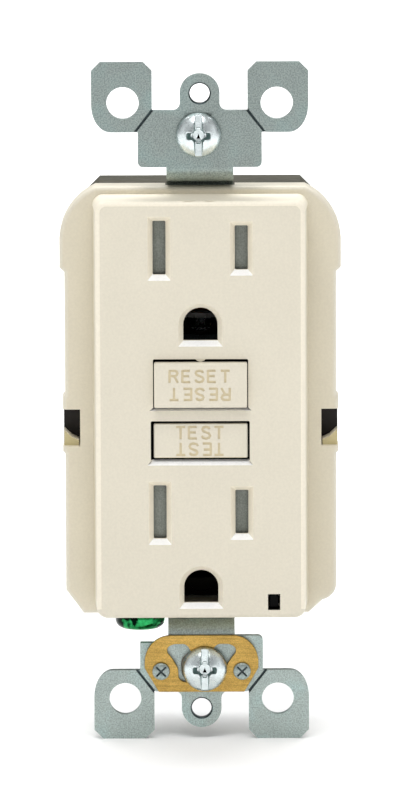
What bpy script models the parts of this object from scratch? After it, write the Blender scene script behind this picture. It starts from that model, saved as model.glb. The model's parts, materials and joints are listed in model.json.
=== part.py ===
"""Duplex ground-fault (GFCI) receptacle, modelled as the separate pieces it is assembled from.

Run with: blender --background --python part.py, or from Blender's text editor.

Frame: +X to the right as seen from the front, +Y into the wall, +Z up. The origin is the centre
between the two mounting screws, in the back plane of the strap's ears, which rests on the wall.
Dimensions below are in millimetres; MM turns them into metres when a piece is finished.
"""

import math

import bmesh
import bpy
from mathutils import Matrix, Vector

MM = 0.001
GAP = 0.3                      # clearance kept between two pieces that touch

# Face and cover
FACE_HALF_X = 16.8              # at the foot of the face
FACE_DRAFT = 0.6                # narrower by this much on each side at the front
FACE_TOP, FACE_BOTTOM = 32.5, -33.0
FACE_CORNER = 1.8
FACE_Y = -8.0                  # front of the raised face
FACE_ROUNDING = 0.5
FACE_WALL = 1.8
FLANGE_Y = 0.7                 # front of the lower flange around the face
FLANGE_BOTTOM = -33.7
FLANGE_HALF_X = 21.9
FLANGE_STEP_X = 21.15
COVER_BACK_Y = 5.2
CHAMFER_WIDTH, CHAMFER_DEPTH = 0.78, 1.2

# Outlets
BLADE_X = 6.35                 # half of the 12.7 mm blade spacing
BLADE_CENTRES_Z = (25.1, -16.3)
NEUTRAL_SLOT = (2.0, 8.4)
HOT_SLOT = (2.0, 6.9)
GROUND_CENTRES_Z = (13.1, -28.1)
GROUND_RADIUS = 2.65           # arch of the ground hole
GROUND_DROP = 2.5              # from the arch's centre down to the flat bottom

# Buttons
RESET_Z = 3.9
RESET_APERTURE = (7.5, 3.8)
RESET_CAP = (7.2, 3.5)
RESET_PROUD = 1.2
TEST_Z = -4.95
TEST_APERTURE = (7.6, 3.03)
TEST_CAP = (7.3, 2.73)
TEST_RECESS = 0.3
INDICATOR = (11.3, -30.35)
INDICATOR_HOLE = (0.95, 1.25)

# Strap
STRAP = 1.3                    # sheet thickness
EAR_IN, EAR_OUT = 7.4, 16.8
EAR_LOW, EAR_TOP = 42.35, 53.25
EAR_HOLE = (11.93, 46.9)
EAR_HOLE_RADIUS = 2.5
PLATE_HALF_X = 9.6
PLATE_LOW = 36.9
PLATE_TOP = 45.75
TONGUE_HALF_X = 3.1
TONGUE_HOLE_Z = 48.4
TONGUE_HOLE_RADIUS = 1.55
BRIDGE_HALF_X = 5.2
BRIDGE_Y = 4.0                 # middle of the sheet where the strap crosses the body
NECK_Z = 35.1                  # middle of the sheet where the strap runs back past the cover
MOUNT_Z = 41.8
MOUNT_SLOT = (3.2, 2.2)
MOUNT_SHANK = 1.75             # number 6 machine screw
MOUNT_HEAD = 3.5
MOUNT_SCREWS = {"top": (-0.2, 41.95), "bottom": (0.5, -41.95)}
WASHER_Y = 0.9                 # retaining washers sit behind the strap, clear of the rivets' tails
RIVETS = {"left": (-6.33, -42.35), "right": (6.33, -42.35)}

# Housings
MIDDLE_Y = (5.5, 7.0)
REAR_Y = (7.3, 24.9)
REAR_HALF_X = 20.4
REAR_TOP, REAR_BOTTOM = 32.4, -31.2
REAR_CUT = 4.6
CAVITY = (12.6, 29.2)
CAVITY_BACK_Y = 23.3
POSTS = ((17.0, 24.4), (-17.0, 24.4), (17.0, -25.4), (-17.0, -25.4))

# Terminals
TERMINALS = {"line": 11.5, "load": -13.5}      # height of each pair's screws
SIDES = {"hot": 1, "neutral": -1}
TERMINAL_Y = 17.85
RECESS_X = 14.8
TERMINAL_SHANK = 2.08          # number 8 machine screw
TERMINAL_HOLE = 2.4

# Ground screw, under the left of the cover, screwed upwards
GROUND_SCREW = (-9.6, 3.4)
GROUND_TAB_Z = (-30.6, -29.5)

# Inside mechanism
PIN_RADIUS = 1.5
SOLENOID_Y = 12.1
TOROID_Z = -14.0
BOARD_Y = (20.4, 21.6)


# ---------------------------------------------------------------- outlines

def arc(centre, radius, start, end, steps):
    """Points along an arc, angles in degrees, both ends included."""
    points = []
    for i in range(steps + 1):
        angle = math.radians(start + (end - start) * i / steps)
        points.append((centre[0] + radius * math.cos(angle), centre[1] + radius * math.sin(angle)))
    return points


def rounded_box(half_u, half_v, radius, centre=(0, 0), steps=3):
    """Rectangle with round corners, anticlockwise."""
    points = []
    for quarter, (su, sv) in enumerate(((1, 1), (-1, 1), (-1, -1), (1, -1))):
        corner = (centre[0] + su * (half_u - radius), centre[1] + sv * (half_v - radius))
        points += arc(corner, radius, 90 * quarter, 90 * quarter + 90, steps)
    return points


def rectangle(half_u, half_v, centre=(0, 0)):
    u, v = centre
    return [(u + half_u, v + half_v), (u - half_u, v + half_v),
            (u - half_u, v - half_v), (u + half_u, v - half_v)]


def cut_corner_box(half_u, low, high, corner):
    """Rectangle with all four corners cut off at 45 degrees, anticlockwise."""
    points = [(half_u, high - corner), (half_u - corner, high)]
    points += [(corner - half_u, high), (-half_u, high - corner)]
    points += [(-half_u, low + corner), (corner - half_u, low)]
    return points + [(half_u - corner, low), (half_u, low + corner)]


def ground_outline(centre_z, grow=0.0):
    """Arch on top, flat at the bottom."""
    radius = GROUND_RADIUS + grow
    low = centre_z - GROUND_DROP - grow
    return arc((0, centre_z), radius, 0, 180, 12) + [(-radius, low), (radius, low)]


def ribbon(path, thickness):
    """Outline of a bent strip of even thickness along a path."""
    sides = ([], [])
    for i, here in enumerate(path):
        before = Vector(path[max(i - 1, 0)])
        after = Vector(path[min(i + 1, len(path) - 1)])
        along = (after - before).normalized()
        normal = Vector((-along.y, along.x))
        if 0 < i < len(path) - 1:
            first = (Vector(here) - before).normalized()
            normal /= max(normal.dot(Vector((-first.y, first.x))), 0.5)
        for side, sign in zip(sides, (1, -1)):
            offset = Vector(here) + normal * (sign * thickness / 2)
            side.append((offset.x, offset.y))
    return sides[0] + sides[1][::-1]


# ---------------------------------------------------------------- solids

def place(axis, u, v, w):
    """A point from its outline coordinates u, v and its height w along an axis."""
    return {"X": (w, u, v), "Y": (u, w, v), "Z": (u, v, w)}[axis]


def solid(bm):
    """Close the books on a bmesh: outward faces, and an object that holds it."""
    bmesh.ops.remove_doubles(bm, verts=bm.verts, dist=1e-4)
    bmesh.ops.recalc_face_normals(bm, faces=bm.faces)
    mesh = bpy.data.meshes.new("shape")
    bm.to_mesh(mesh)
    bm.free()
    obj = bpy.data.objects.new("shape", mesh)
    bpy.context.scene.collection.objects.link(obj)
    return obj


def loft(axis, sections):
    """Skin over outlines of equal point count, each at its own height along the axis."""
    bm = bmesh.new()
    rings = []
    for outline, height in sections:
        rings.append([bm.verts.new(place(axis, u, v, height)) for u, v in outline])
    for low, high in zip(rings, rings[1:]):
        for i in range(len(low)):
            j = (i + 1) % len(low)
            bm.faces.new((low[i], low[j], high[j], high[i]))
    bm.faces.new(rings[0])
    bm.faces.new(rings[-1])
    return solid(bm)


def prism(axis, outline, low, high):
    return loft(axis, [(outline, low), (outline, high)])


def block(x, y, z):
    """Box from three (low, high) pairs."""
    outline = [(x[0], z[0]), (x[1], z[0]), (x[1], z[1]), (x[0], z[1])]
    return prism("Y", outline, y[0], y[1])


def turned(axis, centre, profile, sides=20, ring=False):
    """Turn a profile of (radius, height) points about an axis; a ring's profile is a closed loop."""
    bm = bmesh.new()
    rows = []
    for radius, height in profile:
        count = 1 if radius == 0 else sides
        row = []
        for i in range(count):
            angle = 2 * math.pi * (i + 0.5) / sides
            u = centre[0] + radius * math.cos(angle)
            v = centre[1] + radius * math.sin(angle)
            row.append(bm.verts.new(place(axis, u, v, height)))
        rows.append(row)
    pairs = list(zip(rows, rows[1:]))
    if ring:
        pairs.append((rows[-1], rows[0]))
    for low, high in pairs:
        for i in range(sides):
            j = (i + 1) % sides
            corners = [low[i % len(low)], low[j % len(low)], high[j % len(high)], high[i % len(high)]]
            unique = list(dict.fromkeys(corners))
            if len(unique) > 2:
                bm.faces.new(unique)
    return solid(bm)


def disc(axis, centre, radius, low, high, sides=20):
    return turned(axis, centre, [(0, low), (radius, low), (radius, high), (0, high)], sides)


def washer(axis, centre, inner, outer, low, high, sides=20):
    profile = [(inner, low), (outer, low), (outer, high), (inner, high)]
    return turned(axis, centre, profile, sides, ring=True)


def combine(target, tools, operation):
    """Boolean the tools into the target one by one, and drop them."""
    for tool in tools:
        modifier = target.modifiers.new("boolean", "BOOLEAN")
        modifier.operation = operation
        modifier.object = tool
        modifier.solver = "EXACT"
        graph = bpy.context.evaluated_depsgraph_get()
        result = bpy.data.meshes.new_from_object(target.evaluated_get(graph))
        target.modifiers.clear()
        target.data = result
        bpy.data.objects.remove(tool)
    return target


def cut(target, *tools):
    return combine(target, tools, "DIFFERENCE")


def fuse(target, *tools):
    return combine(target, tools, "UNION")


# ---------------------------------------------------------------- materials and finishing

def material(name, colour, roughness, metallic=0.0):
    made = bpy.data.materials.new(name)
    made.use_nodes = True
    shader = made.node_tree.nodes["Principled BSDF"]
    shader.inputs["Base Color"].default_value = (*colour, 1.0)
    shader.inputs["Roughness"].default_value = roughness
    shader.inputs["Metallic"].default_value = metallic
    return made


MATERIALS = {
    "almond_plastic": ((0.72, 0.66, 0.54), 0.4, 0.0),
    "dark_plastic": ((0.06, 0.05, 0.045), 0.55, 0.0),
    "brown_plastic": ((0.13, 0.085, 0.06), 0.55, 0.0),
    "white_plastic": ((0.7, 0.7, 0.68), 0.5, 0.0),
    "galvanised_steel": ((0.40, 0.44, 0.43), 0.45, 1.0),
    "plated_steel": ((0.78, 0.79, 0.78), 0.25, 1.0),
    "green_steel": ((0.02, 0.22, 0.07), 0.25, 1.0),
    "brass": ((0.72, 0.50, 0.20), 0.35, 1.0),
    "copper_wire": ((0.55, 0.22, 0.08), 0.35, 1.0),
    "fibre": ((0.75, 0.68, 0.62), 0.8, 0.0),
    "board": ((0.03, 0.14, 0.06), 0.5, 0.0),
    "ferrite": ((0.05, 0.05, 0.06), 0.6, 0.0),
    "lamp": ((0.02, 0.02, 0.02), 0.15, 0.0),
}


def finish(name, obj, material_name, pivot=(0, 0, 0)):
    """Turn a shape into the named piece, in metres, with its origin at the pivot."""
    obj.name = name
    obj.data.name = name
    obj.data.transform(Matrix.Scale(MM, 4) @ Matrix.Translation(-Vector(pivot)))
    obj.location = Vector(pivot) * MM
    obj.data.materials.clear()
    surface = bpy.data.materials.get(material_name)
    obj.data.materials.append(surface or material(material_name, *MATERIALS[material_name]))
    obj.data.shade_smooth()
    obj.data.set_sharp_from_angle(angle=math.radians(30))


# ---------------------------------------------------------------- cover, buttons, indicator

def flange_outline():
    """Outer edge of the cover's flange, from the top right, clockwise."""
    right = arc((12.4, 24.9), 9.53, 66, 4.5, 6)
    right += [(FLANGE_HALF_X, 20.9), (FLANGE_STEP_X, 20.2), (FLANGE_STEP_X, 0.9), (21.5, 0.5),
              (21.5, -8.0), (FLANGE_STEP_X, -8.4)]
    left = [(-x, z) for x, z in reversed(right)]
    lower_right = arc((18.5, -29.1), FLANGE_STEP_X - 18.5, 0, -80, 4) + [(16.8, FLANGE_BOTTOM)]
    lower_left = [(-18.4, FLANGE_BOTTOM), (-FLANGE_STEP_X, -30.0)]
    return right + lower_right + lower_left + left


def chamfered_hole(outline_at):
    """Cutter for an opening through the face, with its chamfered mouth."""
    hole = prism("Y", outline_at(0), FACE_Y - 1, 0)
    mouth = loft("Y", [(outline_at(2 * CHAMFER_WIDTH), FACE_Y - CHAMFER_DEPTH),
                       (outline_at(0), FACE_Y + CHAMFER_DEPTH)])
    return hole, mouth


def blade_slot(x, z, size):
    return lambda grow: rectangle(size[0] / 2 + grow, size[1] / 2 + grow, (x, z))


def front_cover():
    middle = (0, (FACE_TOP + FACE_BOTTOM) / 2)
    half_z = (FACE_TOP - FACE_BOTTOM) / 2

    def outline(half_x, inset):
        return rounded_box(half_x - inset, half_z - inset, FACE_CORNER - inset, middle)

    front = FACE_HALF_X - FACE_DRAFT
    face = loft("Y", [(outline(front, FACE_ROUNDING), FACE_Y), (outline(front, 0), FACE_Y + FACE_ROUNDING),
                      (outline(FACE_HALF_X, 0), FLANGE_Y + 1)])
    cover = fuse(prism("Y", flange_outline(), FLANGE_Y, COVER_BACK_Y), face)
    inside = rectangle(front + 0.4 - FACE_WALL, half_z - FACE_WALL, middle)
    cut(cover, prism("Y", inside, FACE_Y + FACE_WALL, COVER_BACK_Y + 1))
    for z in BLADE_CENTRES_Z:
        cut(cover, *chamfered_hole(blade_slot(-BLADE_X, z, NEUTRAL_SLOT)))
        cut(cover, *chamfered_hole(blade_slot(BLADE_X, z, HOT_SLOT)))
    for z in GROUND_CENTRES_Z:
        cut(cover, *chamfered_hole(lambda grow, z=z: ground_outline(z, grow)))
    for half, z in ((RESET_APERTURE, RESET_Z), (TEST_APERTURE, TEST_Z)):
        cut(cover, *chamfered_hole(
            lambda grow, half=half, z=z: rectangle(half[0] + grow, half[1] + grow, (0, z))))
    cut(cover, prism("Y", rectangle(*INDICATOR_HOLE, INDICATOR), FACE_Y - 1, -4.6))
    for side in (1, -1):
        window = sorted((side * 19.1, side * 23))
        cut(cover, block(window, (FLANGE_Y - 1, COVER_BACK_Y + 1), (-7.4, -2.0)))
        neck = sorted((side * 30, side * 36))
        half = BRIDGE_HALF_X + 0.4
        cut(cover, block((-half, half), (BRIDGE_Y - 1, COVER_BACK_Y + 1), neck))
    cut(cover, block((-14.0, -half + 0.2), (GROUND_SCREW[1] - 4.2, COVER_BACK_Y + 1), (-36, -30.5)))
    for x, z in POSTS:
        cut(cover, disc("Y", (x, z), 1.5, 2.0, COVER_BACK_Y + 1, 12))
    finish("front_cover", cover, "almond_plastic")


def button(name, half, z, front, lip):
    """Cap that fills its aperture, with a wider foot that keeps it behind the face."""
    foot = FACE_Y + FACE_WALL + 0.4
    cap = loft("Y", [
        (rectangle(half[0] - 0.5, half[1] - 0.5, (0, z)), front),
        (rectangle(half[0], half[1], (0, z)), front + 0.5),
        (rectangle(half[0], half[1], (0, z)), foot + 1.2)])
    wide = rectangle(half[0] + 1, half[1] + lip, (0, z))
    collar = prism("Y", wide, foot, foot + 1.2)
    finish(name, fuse(cap, collar), "almond_plastic", (0, front, z))


def buttons():
    button("reset_button", RESET_CAP, RESET_Z, FACE_Y - RESET_PROUD, 0.7)
    button("test_button", TEST_CAP, TEST_Z, FACE_Y + TEST_RECESS, 0.5)


def indicator():
    half = (INDICATOR_HOLE[0] - GAP, INDICATOR_HOLE[1] - GAP)
    lens = prism("Y", rectangle(*half, INDICATOR), FACE_Y + 0.9, -5.0)
    finish("indicator_lens", lens, "lamp")
    lamp = turned("Y", (INDICATOR[0], INDICATOR[1] + 1.1),
                  [(0, -4.3), (0.9, -4.0), (1.4, -3.2), (1.4, 1.0), (0, 1.0)], 12)
    finish("indicator_led", lamp, "white_plastic")


# ---------------------------------------------------------------- strap

def ear_outline(side, end):
    """One break-off ear: chamfered outside corners, a large round on its outer inward corner."""
    round_x, round_z = 3.0, 4.3
    chamfer = 1.4
    points = [(EAR_IN, EAR_TOP - chamfer), (EAR_IN + chamfer, EAR_TOP),
              (EAR_OUT - chamfer, EAR_TOP), (EAR_OUT, EAR_TOP - chamfer)]
    for u, v in arc((0, 0), 1, 0, -90, 4):
        points.append((EAR_OUT - round_x + round_x * u, EAR_LOW + round_z + round_z * v))
    points += [(8.6, EAR_LOW), (6.0, PLATE_TOP - 0.9), (EAR_IN, PLATE_TOP + 0.4)]
    return [(side * x, end * z) for x, z in points]


def plate_outline(end):
    """Middle plate of the strap's end, with its tongue."""
    right_low = PLATE_LOW
    left_low = PLATE_LOW if end > 0 else PLATE_LOW + 1.1
    left_round = 0.8 if end > 0 else 0.05
    tongue_z = 51.45 - TONGUE_HALF_X
    points = arc((PLATE_HALF_X - 0.8, right_low + 0.8), 0.8, -90, 0, 3)
    points += [(PLATE_HALF_X, EAR_LOW), (EAR_IN, PLATE_TOP)]
    points += arc((TONGUE_HALF_X + 1, PLATE_TOP + 1), 1.0, 270, 180, 3)
    points += arc((0, tongue_z), TONGUE_HALF_X, 0, 180, 10)
    points += arc((-TONGUE_HALF_X - 1, PLATE_TOP + 1), 1.0, 0, -90, 3)
    points += [(-EAR_IN, PLATE_TOP), (-PLATE_HALF_X, EAR_LOW)]
    points += arc((left_round - PLATE_HALF_X, left_low + left_round), left_round, 180, 270, 3)
    if end < 0:
        points += [(-BRIDGE_HALF_X, left_low), (-BRIDGE_HALF_X, right_low)]
    return [(x, end * z) for x, z in points]


def strap_path():
    """Middle line of the sheet from the top plate, back past the cover and down through the body."""
    bend = 1.6
    front = -STRAP / 2
    path = [(front, 38.5)]
    path += arc((front + bend, NECK_Z + bend), bend, 180, 270, 4)
    path += arc((BRIDGE_Y - bend, NECK_Z - bend), bend, 90, 0, 4)
    return path + [(y, -z) for y, z in reversed(path)]


def mounting_strap():
    strap = prism("X", ribbon(strap_path(), STRAP), -BRIDGE_HALF_X, BRIDGE_HALF_X)
    for end in (1, -1):
        fuse(strap, prism("Y", plate_outline(end), -STRAP, 0))
        for side in (1, -1):
            fuse(strap, prism("Y", ear_outline(side, end), -STRAP, 0))
            groove = [(side * x, end * z) for x, z in
                      ((7.0, 45.95), (9.95, 42.2), (10.25, 42.35), (7.3, 46.15))]
            cut(strap, prism("Y", groove, -STRAP - 1, -STRAP + 0.45))
            hole = (side * EAR_HOLE[0], end * EAR_HOLE[1])
            cut(strap, disc("Y", hole, EAR_HOLE_RADIUS, -5, 5))
        cut(strap, disc("Y", (0, end * TONGUE_HOLE_Z), TONGUE_HOLE_RADIUS, -5, 5, 16))
        slot = rounded_box(*MOUNT_SLOT, 1.6, (0, end * MOUNT_Z))
        cut(strap, prism("Y", slot, -5, 5))
    for centre in RIVETS.values():
        cut(strap, disc("Y", centre, 1.1, -5, 5, 12))
    for z in GROUND_CENTRES_Z:
        cut(strap, disc("Y", (0, z), 3.2, 2, 6))
    cut(strap, disc("Y", (0, RESET_Z), 2.4, 2, 6, 16))
    tab_root = block((-13.6, -BRIDGE_HALF_X + 0.5), (BRIDGE_Y - STRAP / 2, BRIDGE_Y + STRAP / 2),
                     (GROUND_TAB_Z[0], -29.0))
    tab = block((-13.6, -5.6), (GROUND_SCREW[1] - 3.4, GROUND_SCREW[1] + 3.2), GROUND_TAB_Z)
    fuse(strap, tab_root, tab)
    cut(strap, disc("Z", GROUND_SCREW, 2.4, -33, -29, 16))
    finish("mounting_strap", strap, "galvanised_steel")


def clip_outline():
    """Outer edge of the self-grounding clip, which tapers towards the strap's end."""
    right = [(6.7, -45.7), (8.9, -41.9)]
    for u, v in arc((0, 0), 1, 0, 90, 6):
        right.append((4.9 + 4.0 * u, -41.0 + 4.3 * v))
    return right + [(-x, z) for x, z in reversed(right)]


def clip_opening():
    """Mushroom-shaped window: two lobes above, a tongue between them, the screw's room below."""
    right = [(2.9, -44.1), (3.6, -43.5), (3.6, -42.0), (4.6, -40.3), (5.4, -39.4), (5.3, -38.6), (4.4, -38.1),
             (2.6, -38.1), (2.0, -38.6), (1.7, -39.3)]
    return right + [(-x, z) for x, z in reversed(right)]


def grounding_clip():
    clip = prism("Y", clip_outline(), -2.1, -1.6)
    cut(clip, prism("Y", clip_opening(), -3, -1))
    for centre in RIVETS.values():
        cut(clip, disc("Y", centre, 1.1, -3, -1, 12))
    finish("grounding_clip", clip, "brass")
    for name, centre in RIVETS.items():
        rivet = turned("Y", centre, [(0, -2.8), (1.1, -2.8), (1.36, -2.6), (1.36, -2.4),
                                     (0.8, -2.4), (0.8, 0.3), (1.5, 0.3), (1.3, 0.6), (0, 0.6)], 14)
        finish("clip_rivet_" + name, rivet, "galvanised_steel")


# ---------------------------------------------------------------- screws

def driver_cutters(axis, centre, head, inward, slot=(0.6, 6), cross=(1.9, 0.54)):
    """Slot right across the head and a cross recess; inward is +1 or -1 along the axis."""
    depth = sorted((head - inward, head + inward * 0.75))
    deep = sorted((head - inward, head + inward * 1.3))
    return (prism(axis, rectangle(*slot, centre), *depth),
            prism(axis, rectangle(*cross, centre), *deep))


def mounting_screws():
    under_head = {"top": -1.6, "bottom": -2.4}
    for name, (x, z) in MOUNT_SCREWS.items():
        under = under_head[name]
        dome = [(0, under - 1.9), (1.5, under - 1.75), (2.8, under - 1.2), (MOUNT_HEAD, under - 0.35),
                (MOUNT_HEAD, under), (MOUNT_SHANK, under), (MOUNT_SHANK, 22.4), (1.0, 23.2), (0, 23.2)]
        screw = turned("Y", (x, z), dome, 24)
        cut(screw, *driver_cutters("Y", (x, z), under - 1.9, 1))
        finish("mounting_screw_" + name, screw, "plated_steel", (x, under, z))
        ring = washer("Y", (x, z), MOUNT_SHANK + GAP, 4.8, WASHER_Y, WASHER_Y + 0.8)
        finish("retainer_washer_" + name, ring, "fibre", (x, WASHER_Y, z))


def ground_screw():
    x, y = GROUND_SCREW
    profile = [(0, -36.4), (3.0, -36.4), (3.65, -36.0), (3.9, -35.3), (3.9, -34.1),
               (TERMINAL_SHANK, -34.1), (TERMINAL_SHANK, -27.5), (1.4, -27.0), (0, -27.0)]
    screw = turned("Z", (x, y), profile, 24)
    cut(screw, *driver_cutters("Z", (x, y), -36.4, 1, (6, 0.6), (0.54, 1.9)))
    finish("ground_screw", screw, "green_steel", (x, y, -36.4))
    plate = prism("Z", rounded_box(3.7, 3.4, 0.6, (x, y)), -33.7, -32.9)
    cut(plate, disc("Z", (x, y), TERMINAL_HOLE, -35, -32, 16))
    finish("ground_clamp_plate", plate, "galvanised_steel", (x, y, -33.7))


# ---------------------------------------------------------------- housings

def middle_housing():
    plate = prism("Y", cut_corner_box(20.9, -32.9, 32.9, REAR_CUT + 1), *MIDDLE_Y)
    low, high = MIDDLE_Y[0] - 1, MIDDLE_Y[1] + 1
    for z in BLADE_CENTRES_Z:
        for side in SIDES.values():
            cut(plate, prism("Y", rectangle(1.8, 5.0, (side * BLADE_X, z)), low, high))
    for z in GROUND_CENTRES_Z:
        cut(plate, disc("Y", (0, z), 3.2, low, high, 16))
    for side in SIDES.values():
        tab = block(sorted((side * 20, side * 21.4)), MIDDLE_Y, (-7.7, -1.7))
        fuse(plate, tab)
    cut(plate, block((-14.3, -4.9), (low, high), (-40, -26.4)))
    cut(plate, disc("Y", (0, RESET_Z), 2.4, low, high, 16))
    for side in SIDES.values():
        cut(plate, prism("Y", rectangle(1.9, 2.9, (side * 9.5, RESET_Z)), low, high))
    for post in POSTS:
        cut(plate, disc("Y", post, 1.5, low, high, 12))
    finish("middle_housing", plate, "brown_plastic")


def rear_housing():
    front, back = REAR_Y
    outline = cut_corner_box(REAR_HALF_X, REAR_BOTTOM, REAR_TOP, REAR_CUT)
    edge = cut_corner_box(REAR_HALF_X - 0.8, REAR_BOTTOM + 0.8, REAR_TOP - 0.8, REAR_CUT)
    housing = loft("Y", [(outline, front), (outline, back - 0.8), (edge, back)])
    cut(housing, prism("Y", rectangle(*CAVITY), front - 1, CAVITY_BACK_Y))
    for x, z in POSTS:
        cut(housing, disc("Y", (x, z), 1.5, front - 1, back + 1, 12))
        cut(housing, disc("Y", (x, z), 2.7, 22.9, back + 1, 16))
    for side in SIDES.values():
        for z in TERMINALS.values():
            recess = sorted((side * RECESS_X, side * 22))
            cut(housing, block(recess, (12.4, 23.3), (z - 5.2, z + 5.2)))
            pocket = sorted((side * 12.0, side * (RECESS_X + 0.5)))
            cut(housing, disc("X", (TERMINAL_Y, z), 2.6, *pocket, 16))
            for wire in (-3.0, 3.0):
                cut(housing, disc("Y", (side * 17.0, z + wire), 1.4, 23, back + 1, 12))
    finish("rear_housing", housing, "dark_plastic")


def assembly_screws():
    names = ("upper_right", "upper_left", "lower_right", "lower_left")
    for name, (x, z) in zip(names, POSTS):
        profile = [(0, 24.6), (2.3, 24.6), (2.3, 23.3), (1.2, 23.3), (1.2, 2.6), (0, 2.6)]
        screw = turned("Y", (x, z), profile, 14)
        cut(screw, block((x - 0.35, x + 0.35), (24.0, 26), (z - 3, z + 3)))
        finish("assembly_screw_" + name, screw, "plated_steel", (x, 24.6, z))


# ---------------------------------------------------------------- terminals

def terminals():
    for pair, z in TERMINALS.items():
        for side_name, side in SIDES.items():
            label = pair + "_" + side_name
            metal = "brass" if side > 0 else "plated_steel"
            centre = (TERMINAL_Y, z)

            plate = block(sorted((side * 15.1, side * 16.1)), (12.9, 22.8), (z - 4.8, z + 4.8))
            cut(plate, disc("X", centre, TERMINAL_HOLE, *sorted((side * 14, side * 17)), 16))
            finish("terminal_" + label, plate, "brass")

            clamp = block(sorted((side * 17.9, side * 18.9)), (13.4, 22.3), (z - 4.3, z + 4.3))
            cut(clamp, disc("X", centre, TERMINAL_HOLE, *sorted((side * 17, side * 20)), 16))
            finish("clamp_" + label, clamp, "plated_steel", (side * 17.9, *centre))

            profile = [(0, 21.4), (2.9, 21.4), (3.95, 20.7), (3.95, 19.2), (TERMINAL_SHANK, 19.2),
                       (TERMINAL_SHANK, 14.8), (1.4, 14.2), (0, 14.2)]
            screw = turned("X", centre, [(r, side * x) for r, x in profile], 20)
            cut(screw, *driver_cutters("X", centre, side * 21.4, -side))
            finish("terminal_screw_" + label, screw, metal, (side * 21.4, *centre))


# ---------------------------------------------------------------- contacts behind the face

def receptacle_contact(name, side):
    """One strip with a pair of spring leaves at each outlet and a leg back to the switch."""
    def at(low, high):
        return sorted((side * low, side * high))
    strip = block(at(7.9, 9.0), (1.9, 2.9), (-19.8, 28.6))
    for z in BLADE_CENTRES_Z:
        reach = (z - 3.5, z + 3.5)
        fuse(strip, block(at(5.4, 8.4), (2.0, 2.8), reach))
        fuse(strip, block(at(5.0, 5.5), (-4.9, 2.8), reach), block(at(7.2, 7.7), (-4.9, 2.8), reach))
        cut(strip, block(at(5.5, 7.2), (1, 4), (z - 2.5, z + 2.5)))
    fuse(strip, block(at(8.8, 10.2), (2.1, 7.1), (RESET_Z - 1.6, RESET_Z + 1.6)))
    finish(name, strip, "brass")


def ground_contact(name, z):
    """Two leaves that grip the ground pin, on a base with a hole for its tip."""
    base = block((-3.9, 3.9), (1.9, 2.7), (z - 2.8, z + 2.8))
    for side in SIDES.values():
        leaf = sorted((side * 3.3, side * 3.9))
        fuse(base, block(leaf, (-4.6, 2.6), (z - 2.6, z + 2.6)))
    cut(base, disc("Y", (0, z), 2.4, 1, 4, 16))
    finish(name, base, "brass")


def contacts():
    for side_name, side in SIDES.items():
        receptacle_contact(side_name + "_receptacle_contact", side)
    ground_contact("ground_contact_top", GROUND_CENTRES_Z[0])
    ground_contact("ground_contact_bottom", GROUND_CENTRES_Z[1])


# ---------------------------------------------------------------- reset and test mechanism

def spring(name, axis, centre, radius, wire, low, high, turns):
    """Compression spring: an open helix of round wire."""
    curve = bpy.data.curves.new(name, "CURVE")
    curve.dimensions = "3D"
    curve.bevel_depth = wire * MM
    curve.bevel_resolution = 0
    curve.use_fill_caps = True
    steps = turns * 10
    line = curve.splines.new("POLY")
    line.points.add(steps)
    for i in range(steps + 1):
        angle = 2 * math.pi * turns * i / steps
        u = radius * math.cos(angle)
        v = radius * math.sin(angle)
        w = low + (high - low) * i / steps
        line.points[i].co = (*(Vector(place(axis, u, v, w)) * MM), 1.0)
    curve.materials.append(bpy.data.materials.get("plated_steel"))
    obj = bpy.data.objects.new(name, curve)
    obj.location = Vector(place(axis, centre[0], centre[1], 0)) * MM
    bpy.context.scene.collection.objects.link(obj)


def reset_mechanism():
    pin = disc("Y", (0, RESET_Z), PIN_RADIUS, -3.9, 13.9, 14)
    finish("reset_pin", pin, "plated_steel", (0, -3.9, RESET_Z))
    spring("reset_spring", "Y", (0, RESET_Z), 3.2, 0.3, -3.6, 2.7, 4)

    lifter = block((-11.4, 11.4), (9.5, 11.9), (RESET_Z - 2.8, RESET_Z + 2.8))
    cut(lifter, disc("Y", (0, RESET_Z), PIN_RADIUS + 0.4, 9, 13, 14))
    finish("lifter", lifter, "white_plastic", (0, 9.5, RESET_Z))
    for side_name, side in SIDES.items():
        arm = block(sorted((side * 8.0, side * 11.0)), (8.5, 9.2), (-5.0, RESET_Z + 2.6))
        finish(side_name + "_moving_contact", arm, "brass", (side * 9.5, 8.5, RESET_Z))

    latch = block((-3.4, 3.4), (12.2, 13.0), (-0.3, 9.8))
    cut(latch, prism("Y", rounded_box(1.9, 2.95, 1.5, (0, 4.95)), 12, 14))
    finish("latch_plate", latch, "plated_steel", (0, 12.2, 9.8))


def solenoid():
    centre = (0, SOLENOID_Y)
    bobbin = [(2.2, 12.0), (4.5, 12.0), (4.5, 12.8), (2.9, 12.8), (2.9, 23.2), (4.5, 23.2),
              (4.5, 24.0), (2.2, 24.0)]
    finish("solenoid_bobbin", turned("Z", centre, bobbin, 16, ring=True), "white_plastic")
    finish("solenoid_coil", washer("Z", centre, 3.2, 4.3, 13.1, 22.9, 16), "copper_wire")
    plunger = disc("Z", centre, 1.9, 10.2, 21.0, 14)
    finish("plunger", plunger, "plated_steel", (0, SOLENOID_Y, 10.2))
    spring("plunger_spring", "Z", centre, 1.5, 0.25, 21.5, 27.0, 4)


def test_mechanism():
    leaf = block((-1.5, 1.5), (-2.4, -2.0), (-8.0, -3.3))
    fuse(leaf, block((-1.5, 1.5), (-2.3, 3.0), (-8.6, -7.9)))
    finish("test_contact", leaf, "brass")
    resistor = disc("Z", (-9.5, 18.3), 1.2, -26.0, -19.0, 12)
    finish("test_resistor", resistor, "brown_plastic")


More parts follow.
